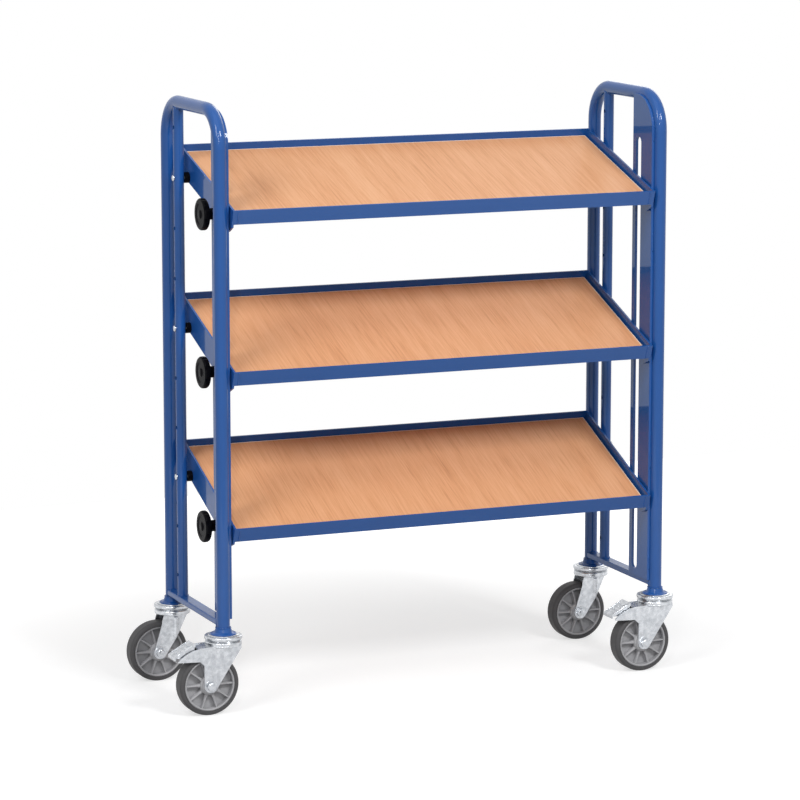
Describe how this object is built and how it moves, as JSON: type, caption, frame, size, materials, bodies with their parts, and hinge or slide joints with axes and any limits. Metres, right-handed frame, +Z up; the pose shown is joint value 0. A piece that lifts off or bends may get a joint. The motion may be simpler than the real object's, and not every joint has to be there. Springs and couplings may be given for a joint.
{
  "type": "shelf cart",
  "caption": "Tube-framed cart with tilting beech shelves held by clamp knobs between two end loops, rolling on swivel casters with brakes at the front.",
  "frame": {"origin": "middle of the outer box on the floor", "axes": "+X along the cart to its right end seen from the front, -Y to the front, +Z up"},
  "size_m": [1.1124, 0.3868, 1.2195],
  "materials": {
    "blue_paint": "gloss",
    "beech": "satin",
    "black_plastic": "matte",
    "zinc": "satin",
    "grey_plastic": "matte",
    "tyre": "matte"
  },
  "bodies": {
    "frame": {"left_loop_tube": "blue_paint", "left_hole_post": "blue_paint", "left_guide_plate": "blue_paint", "left_cross_bar": "blue_paint", "right_loop_tube": "blue_paint", "right_hole_post": "blue_paint", "right_guide_plate": "blue_paint", "right_cross_bar": "blue_paint", "foot_collars": "blue_paint", "pivot_bolts": "zinc", "swivel_heads": "zinc", "ball_races": "zinc", "kingpins": "zinc"},
    "top_shelf": {"top_front_rail": "blue_paint", "top_rear_rail": "blue_paint", "top_left_side_rail": "blue_paint", "top_right_side_rail": "blue_paint", "top_board": "beech", "top_clamp_bolts": "zinc", "top_spacers": "black_plastic"},
    "top_left_knob": {"top_left_knob": "black_plastic"},
    "top_right_knob": {"top_right_knob": "black_plastic"},
    "middle_shelf": {"middle_front_rail": "blue_paint", "middle_rear_rail": "blue_paint", "middle_left_side_rail": "blue_paint", "middle_right_side_rail": "blue_paint", "middle_board": "beech", "middle_clamp_bolts": "zinc", "middle_spacers": "black_plastic"},
    "middle_left_knob": {"middle_left_knob": "black_plastic"},
    "middle_right_knob": {"middle_right_knob": "black_plastic"},
    "bottom_shelf": {"bottom_front_rail": "blue_paint", "bottom_rear_rail": "blue_paint", "bottom_left_side_rail": "blue_paint", "bottom_right_side_rail": "blue_paint", "bottom_board": "beech", "bottom_clamp_bolts": "zinc", "bottom_spacers": "black_plastic"},
    "bottom_left_knob": {"bottom_left_knob": "black_plastic"},
    "bottom_right_knob": {"bottom_right_knob": "black_plastic"},
    "front_left_caster": {"front_left_fork": "zinc", "front_left_axle": "zinc"},
    "front_left_wheel": {"front_left_wheel": "grey_plastic", "front_left_tyre": "tyre"},
    "front_left_brake_pedal": {"front_left_brake_pedal": "zinc"},
    "front_right_caster": {"front_right_fork": "zinc", "front_right_axle": "zinc"},
    "front_right_wheel": {"front_right_wheel": "grey_plastic", "front_right_tyre": "tyre"},
    "front_right_brake_pedal": {"front_right_brake_pedal": "zinc"},
    "rear_left_caster": {"rear_left_fork": "zinc", "rear_left_axle": "zinc"},
    "rear_left_wheel": {"rear_left_wheel": "grey_plastic", "rear_left_tyre": "tyre"},
    "rear_right_caster": {"rear_right_fork": "zinc", "rear_right_axle": "zinc"},
    "rear_right_wheel": {"rear_right_wheel": "grey_plastic", "rear_right_tyre": "tyre"}
  },
  "joints": [
    {"name": "top_shelf_tilt", "type": "hinge", "parent": "frame", "child": "top_shelf", "pos_m": [0.03575, 0.0868, 1.0528], "axis": [1, 0, 0], "range_deg": [-17.9, 6.1]},
    {"name": "top_left_knob_turn", "type": "hinge", "parent": "top_shelf", "child": "top_left_knob", "pos_m": [-0.46025, -0.09333, 0.99882], "axis": [-1, 0, 0], "range_deg": [0, 360]},
    {"name": "top_right_knob_turn", "type": "hinge", "parent": "top_shelf", "child": "top_right_knob", "pos_m": [0.53175, -0.09333, 0.99882], "axis": [1, 0, 0], "range_deg": [0, 360]},
    {"name": "middle_shelf_tilt", "type": "hinge", "parent": "frame", "child": "middle_shelf", "pos_m": [0.03575, 0.0868, 0.7459], "axis": [1, 0, 0], "range_deg": [-21.1, 2.9]},
    {"name": "middle_left_knob_turn", "type": "hinge", "parent": "middle_shelf", "child": "middle_left_knob", "pos_m": [-0.46025, -0.09004, 0.68195], "axis": [-1, 0, 0], "range_deg": [0, 360]},
    {"name": "middle_right_knob_turn", "type": "hinge", "parent": "middle_shelf", "child": "middle_right_knob", "pos_m": [0.53175, -0.09004, 0.68195], "axis": [1, 0, 0], "range_deg": [0, 360]},
    {"name": "bottom_shelf_tilt", "type": "hinge", "parent": "frame", "child": "bottom_shelf", "pos_m": [0.03575, 0.0868, 0.439], "axis": [1, 0, 0], "range_deg": [-23.1, 0.9]},
    {"name": "bottom_left_knob_turn", "type": "hinge", "parent": "bottom_shelf", "child": "bottom_left_knob", "pos_m": [-0.46025, -0.0877, 0.36892], "axis": [-1, 0, 0], "range_deg": [0, 360]},
    {"name": "bottom_right_knob_turn", "type": "hinge", "parent": "bottom_shelf", "child": "bottom_right_knob", "pos_m": [0.53175, -0.0877, 0.36892], "axis": [1, 0, 0], "range_deg": [0, 360]},
    {"name": "front_left_swivel", "type": "hinge", "parent": "frame", "child": "front_left_caster", "pos_m": [-0.44625, -0.155, 0.145], "axis": [0, 0, 1], "continuous": true},
    {"name": "front_left_roll", "type": "hinge", "parent": "front_left_caster", "child": "front_left_wheel", "pos_m": [-0.48125, -0.155, 0.0625], "axis": [0, 1, 0], "continuous": true},
    {"name": "front_left_brake_press", "type": "hinge", "parent": "front_left_caster", "child": "front_left_brake_pedal", "pos_m": [-0.53025, -0.155, 0.1229], "axis": [0, -1, 0], "range_deg": [0, 12]},
    {"name": "front_right_swivel", "type": "hinge", "parent": "frame", "child": "front_right_caster", "pos_m": [0.51775, -0.155, 0.145], "axis": [0, 0, 1], "continuous": true},
    {"name": "front_right_roll", "type": "hinge", "parent": "front_right_caster", "child": "front_right_wheel", "pos_m": [0.48275, -0.155, 0.0625], "axis": [0, 1, 0], "continuous": true},
    {"name": "front_right_brake_press", "type": "hinge", "parent": "front_right_caster", "child": "front_right_brake_pedal", "pos_m": [0.43375, -0.155, 0.1229], "axis": [0, -1, 0], "range_deg": [0, 12]},
    {"name": "rear_left_swivel", "type": "hinge", "parent": "frame", "child": "rear_left_caster", "pos_m": [-0.44625, 0.155, 0.145], "axis": [0, 0, 1], "continuous": true},
    {"name": "rear_left_roll", "type": "hinge", "parent": "rear_left_caster", "child": "rear_left_wheel", "pos_m": [-0.48125, 0.155, 0.0625], "axis": [0, 1, 0], "continuous": true},
    {"name": "rear_right_swivel", "type": "hinge", "parent": "frame", "child": "rear_right_caster", "pos_m": [0.51775, 0.155, 0.145], "axis": [0, 0, 1], "continuous": true},
    {"name": "rear_right_roll", "type": "hinge", "parent": "rear_right_caster", "child": "rear_right_wheel", "pos_m": [0.48275, 0.155, 0.0625], "axis": [0, 1, 0], "continuous": true}
  ]
}
